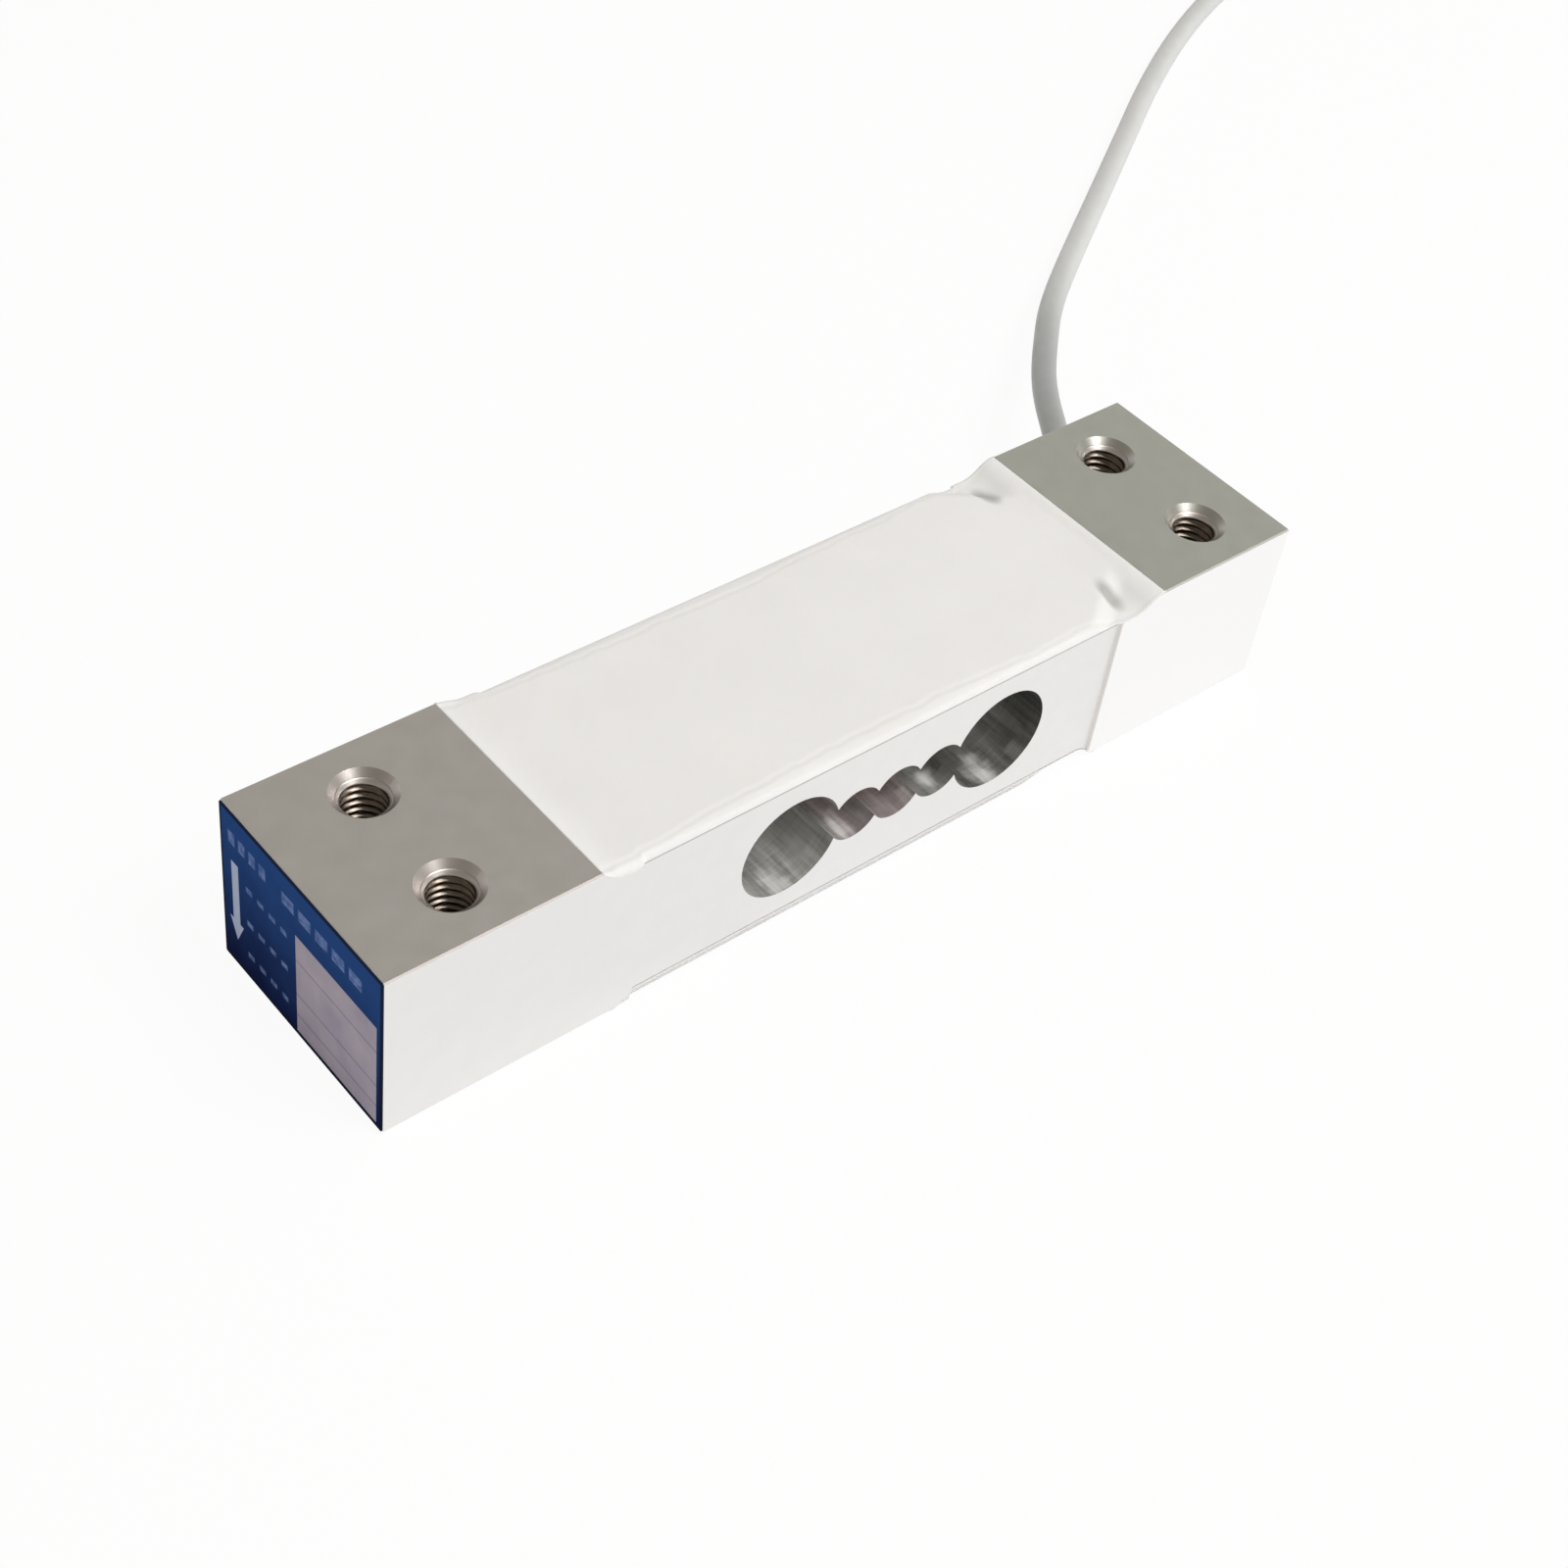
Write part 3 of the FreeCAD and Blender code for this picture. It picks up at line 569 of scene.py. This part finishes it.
# The coat is thin in the two dips at the foot of the ramp by the cable end, and greyer there as painted
# shade.
off_dip = add_node(tree, "ShaderNodeCombineXYZ", None, {
    0: times(tree, sum_of(tree, "SUBTRACT", along, top_feet[1]), dip_shade_stretch),
    1: sum_of(tree, "SUBTRACT", sum_of(tree, "ABSOLUTE", across), dip_across),
}).outputs[0]
painted_dip_shade = ramp(tree, length_of(tree, off_dip), dip_shade_ends_at, dip_shade_full_at)
silicone_colour = blend_colours(tree, painted_dip_shade, silicone_colour, (0.50, 0.51, 0.49))
tree.links.new(silicone_colour, surface.inputs["Base Color"])
tree.links.new(spread(tree, grain(tree, place, 1.5), 0.56, 0.66), surface.inputs["Roughness"])
surface.inputs["Specular IOR Level"].default_value = 0.22
surface.inputs["Subsurface Weight"].default_value = 0.15
surface.inputs["Subsurface Radius"].default_value = (0.0012, 0.0011, 0.0010)
pitted = sum_of(tree, "MULTIPLY_ADD", grain(tree, place, 7.0), 0.15, grain(tree, place, 0.6))
emboss(tree, surface, pitted, 0.05)


def make_coat(name, node, ends, side, level, metal_height):
    """Coat in one recess. ends are its x limits, side is 1 above and -1 below, level
    is how thick it lies, and metal_height gives the metal above the floor at x."""
    node_low, node_high = (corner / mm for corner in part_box(node))
    floor, land = (node_low.z, beam_high.z) if side > 0 else (node_high.z, beam_low.z)
    depth = side * (land - floor)
    half_width, full_width = node_high.y, beam_high.y - side_gap

    def width_at(x):
        wide = max(smooth((narrow_from - x) / widening), smooth((x - narrow_to) / widening))
        return half_width + (full_width - half_width) * wide

    def thickness(x, y):
        """How far the coat stands above the floor of the recess."""
        metal = metal_height(x, depth)
        by_label = max(0.0, 1 - (x - ends[0]) / creep_by_label)
        by_cable = max(0.0, 1 - (ends[1] - x) / creep_by_cable)
        rise = min(1.0, by_label ** 2.6 + by_cable ** 2.0)
        thick = level + 0.05 * noise.noise(Vector((x * 0.09, y * 0.12, 3.0 + side)))
        thick += (depth - creep_below_land - thick) * rise
        least = metal + thinnest
        # The coat draws back from the corners at the cable end.
        off_x, off_y = x - ends[1] + corner_inset, abs(y) - corner_across
        corner = off_x * corner_slant[0] + off_y * corner_slant[1]
        thick += (least + 0.05 - thick) * smooth(corner / corner_fade)
        # The crowned band wavers along the coat, and falls away to the edge.
        edge = width_at(x) - abs(y)
        band = band_least + band_gain * math.exp(-((x - band_middle) / band_reach) ** 2)
        band += 0.50 * noise.noise(Vector((x * 0.15, 7.0 * (1 if y > 0 else -1), side)))
        band += 0.26 * noise.noise(Vector((x * 0.6, y * 0.1, 5.0)))
        thick -= groove_depth * math.exp(-((edge - band) / groove_width) ** 2)
        if edge < band:
            share = 1 - edge / band
            fall = 0.75 * share ** 1.3 + 0.25 * arc_rise(share, 1.0)
            thick += (min(thick, metal + edge_height) - thick) * fall
        dip_x = (x - ends[1] + dip_inset) / dip_half_length
        dip_y = (abs(y) - dip_across) / dip_half_width
        thick -= dip_depth * smooth(1 - dip_x ** 2 - dip_y ** 2)
        return min(max(thick, least), depth - below_land)

    mesh = bmesh.new()
    under, over = [], []
    for i in range(coat_columns + 1):
        x = ends[0] + (ends[1] - ends[0]) * i / coat_columns
        base = floor + side * (metal_height(x, depth) - sunk_in)
        upper, lower = [], []
        for j in range(coat_rows + 1):
            # The rows lie closer together at the two long edges.
            share = j / coat_rows * 2 - 1
            y = width_at(x) * (math.sin(share * math.pi / 2) * 0.45 + share * 0.55)
            upper.append(mesh.verts.new((x * mm, y * mm, (floor + side * thickness(x, y)) * mm)))
            lower.append(mesh.verts.new((x * mm, y * mm, base * mm)))
        over.append(upper)
        under.append(lower)

    def add_face(corners, way):
        mesh.faces.new(corners if way * side > 0 else corners[::-1])

    for i in range(coat_columns):
        for j in range(coat_rows):
            add_face((over[i][j], over[i + 1][j], over[i + 1][j + 1], over[i][j + 1]), 1)
            add_face((under[i][j], under[i][j + 1], under[i + 1][j + 1], under[i + 1][j]), 1)
        for j, way in ((0, 1), (coat_rows, -1)):
            add_face((over[i][j], under[i][j], under[i + 1][j], over[i + 1][j]), way)
            # The lower edge is sharp, so that the base doesn't darken the wall's shading.
            mesh.edges.get((under[i][j], under[i + 1][j])).smooth = False
    for i, way in ((0, -1), (coat_columns, 1)):
        for j in range(coat_rows):
            add_face((over[i][j], under[i][j], under[i][j + 1], over[i][j + 1]), way)
    coat = smooth_piece(mesh, name, silicone_finish)
    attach(coat, "root")
    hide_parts(node)


make_coat("silicone_coat_top", "silicone_top", (-38.98, 43.3), 1, 1.3, top_metal)
make_coat("silicone_coat_bottom", "silicone_bottom", (-36.2, 37.8), -1, 0.9, under_metal)

# ---------------------------------------------------------------- end label
# Printed polyester film on the end face: a dark blue field with the arrow that
# shows the way of the load, rows of plain bars, and a pale panel left blank.
label_finish, tree, surface = new_finish("printed_film", 0.0, 0.38)
place = place_of(tree)
across, high = axes_of(tree, place)[1:]


def box_mask(tree, y_low, y_high, z_low, z_high):
    """1 inside a rectangle on the end face."""
    return times(tree, between(tree, across, y_low, y_high), between(tree, high, z_low, z_high))


def dashes(tree, y_low, y_high, z_low, z_high, pitch, share):
    """Row of short pale bars on the end face, each filling a share of the pitch."""
    steps = times(tree, sum_of(tree, "SUBTRACT", y_high, across), 1 / pitch)
    bars = between(tree, sum_of(tree, "FRACT", steps), 0.04, share, 0.06)
    return times(tree, bars, box_mask(tree, y_low, y_high, z_low, z_high))


wash = grain(tree, place, 0.22)
depth = sum_of(tree, "MULTIPLY_ADD", high, 0.052, sum_of(tree, "MULTIPLY_ADD", wash, 0.5, -0.32))
depth = add_node(tree, "ShaderNodeClamp", None, {"Value": depth}).outputs[0]
field = blend_colours(tree, depth, (0.011, 0.018, 0.074), (0.025, 0.074, 0.245))
# The arrow points down: a shaft, and a head that widens with the height above its tip.
arrow_middle, shaft_half_width = 12.3, 0.65
arrow_tip, head_slope, head_top = 4.1, 0.45, 7.0
shaft_low, shaft_high = 6.6, 15.8
head_half_width = times(tree, sum_of(tree, "SUBTRACT", high, arrow_tip), head_slope)
off_middle = sum_of(tree, "ABSOLUTE", sum_of(tree, "SUBTRACT", across, arrow_middle))
within = sum_of(tree, "SUBTRACT", head_half_width, off_middle)
head = times(tree, between(tree, within, 0.0, 9.0, 0.04), between(tree, high, arrow_tip, head_top))
shaft = box_mask(tree, arrow_middle - shaft_half_width, arrow_middle + shaft_half_width,
                 shaft_low, shaft_high)
field = blend_colours(tree, largest(tree, shaft, head), field, (0.46, 0.53, 0.72))
# Two rows of tall bars at the top and three of small ones beside the panel. Each has
# its sides, its bottom and top, its pitch, and how much of the pitch a bar fills.
bar_rows = [(6.0, 13.4, 18.3, 20.1, 1.95, 0.66), (-11.9, 3.3, 18.2, 19.9, 3.05, 0.76)]
bar_rows += [(2.0, 10.3, z, z + 0.75, 2.2, 0.58) for z in (13.5, 8.4, 3.4)]
bars = largest(tree, *(dashes(tree, *bar_row) for bar_row in bar_rows))
uneven = spread(tree, grain(tree, place, 1.6), 0.15, 0.75)
field = blend_colours(tree, times(tree, bars, uneven), field, (0.24, 0.34, 0.66))
panel_left, panel_right, panel_low, panel_high = -13.9, 0.8, 0.75, 15.5
line_width = 0.15
panel = box_mask(tree, panel_left, panel_right, panel_low, panel_high)
blank = drifting(tree, wash, (0.38, 0.35, 0.44), (0.48, 0.43, 0.50))
form_lines = (box_mask(tree, panel_left, panel_right, z, z + line_width) for z in (11.7, 6.5, 3.3))
lines = largest(tree, *form_lines)
blank = blend_colours(tree, times(tree, lines, 0.7), blank, (0.12, 0.10, 0.16))
printed = blend_colours(tree, panel, field, blank)
# A near-black margin runs round the edge of the film.
margin = sum_of(tree, "SUBTRACT", 1.0, box_mask(tree, -14.5, 14.55, 0.5, 22.5))
printed = blend_colours(tree, times(tree, margin, 0.85), printed, (0.012, 0.013, 0.022))
tree.links.new(printed, surface.inputs["Base Color"])
surface.inputs["Specular IOR Level"].default_value = 0.0
emboss(tree, surface, grain(tree, place, 1.2), 0.015)
dress(label_finish, "end_label")


# ---------------------------------------------------------------- sealing compound
# Pale compound round the jacket where it leaves the beam, and in the mouth of the
# lengthwise wire bore.
def mottled(name, first, second, per_mm, roughness, depth, metallic=0.0):
    """Finish whose colour and gloss drift between two values, with a fine skin."""
    material, tree, surface = new_finish(name, metallic)
    place = place_of(tree)
    drift = grain(tree, place, per_mm)
    tree.links.new(drifting(tree, drift, first, second), surface.inputs["Base Color"])
    tree.links.new(spread(tree, drift, roughness * 0.88, roughness * 1.12), surface.inputs["Roughness"])
    emboss(tree, surface, grain(tree, place, per_mm * 5), depth)
    return material


sealant_finish = mottled("pale_compound", (0.60, 0.59, 0.56), (0.70, 0.69, 0.66), 0.9, 0.5, 0.05)
dress(sealant_finish, "cable_seal", "wire_bore_plug")

# ---------------------------------------------------------------- gauges and resistors
# Etched foil on amber polyimide film, bonded over the thin walls of the window:
# four gauges that sense the load and three resistors that trim the bridge.
foil_rate = 18.0
gauge_finish, tree, surface = new_finish("gauge_foil_on_film", 0.0, 0.35)
place = place_of(tree)
stripes = sum_of(tree, "SINE", times(tree, axes_of(tree, place)[1], foil_rate))
film = drifting(tree, grain(tree, place, 0.8), (0.55, 0.27, 0.05), (0.66, 0.36, 0.09))
foil = between(tree, stripes, 0.1, 2.0)
tree.links.new(blend_colours(tree, foil, film, (0.50, 0.42, 0.34)), surface.inputs["Base Color"])
emboss(tree, surface, stripes, 0.01)
dress(gauge_finish, *(n for n in frame["nodes"] if n.startswith("gauge_") or n.endswith("_resistor")))

# ---------------------------------------------------------------- terminal boards
# Thin glass-fibre boards with tinned pads, one above and one below, that join the
# gauges' wires to the cable's cores.
pad_pitch = 3.0
board_finish, tree, surface = new_finish("board_with_pads", 0.0, 0.4)
place = place_of(tree)
pad_rows = sum_of(tree, "SINE", times(tree, axes_of(tree, place)[1], math.tau / pad_pitch))
mask = drifting(tree, grain(tree, place, 2.0), (0.02, 0.12, 0.05), (0.03, 0.17, 0.07))
pads = between(tree, pad_rows, 0.5, 2.0)
tree.links.new(blend_colours(tree, pads, mask, (0.62, 0.60, 0.56)), surface.inputs["Base Color"])
emboss(tree, surface, grain(tree, place, 6.0), 0.01)
dress(board_finish, "terminal_board_top", "terminal_board_bottom")

# ---------------------------------------------------------------- bare wires
# Tinned copper: the bridge's fine wires, the wires through the beam between the
# boards, the drain wire and the stripped tips of the cores.
tinned_finish = mottled("tinned_copper", (0.62, 0.58, 0.54), (0.72, 0.69, 0.66), 2.5, 0.28, 0.01, 1.0)
dress(tinned_finish, "bridge_wires_top", "bridge_wires_bottom", "crossover_wires", "drain_wire", "core_tips")

# ---------------------------------------------------------------- cores and leads
# The cable's four insulated cores: in the beam they run to the top board, and at
# the far end they fan out of the sleeve. Each has its own colour of soft plastic.
for colour, dark, light in (
    ("red", (0.42, 0.015, 0.012), (0.52, 0.025, 0.02)),
    ("black", (0.012, 0.012, 0.013), (0.022, 0.022, 0.024)),
    ("green", (0.01, 0.20, 0.05), (0.02, 0.27, 0.07)),
    ("white", (0.74, 0.74, 0.72), (0.80, 0.80, 0.78)),
):
    insulation = mottled(colour + "_insulation", dark, light, 1.0, 0.32, 0.01)
    dress(insulation, "core_" + colour, "lead_" + colour)

# ---------------------------------------------------------------- shrink sleeve
# Black heat-shrink tubing that closes the end of the jacket and grips the cores.
# It is shrunk on with hot air.
sleeve_finish = mottled("shrink_tubing", (0.014, 0.014, 0.015), (0.028, 0.028, 0.03), 0.8, 0.45, 0.04)
dress(sleeve_finish, "shrink_sleeve")
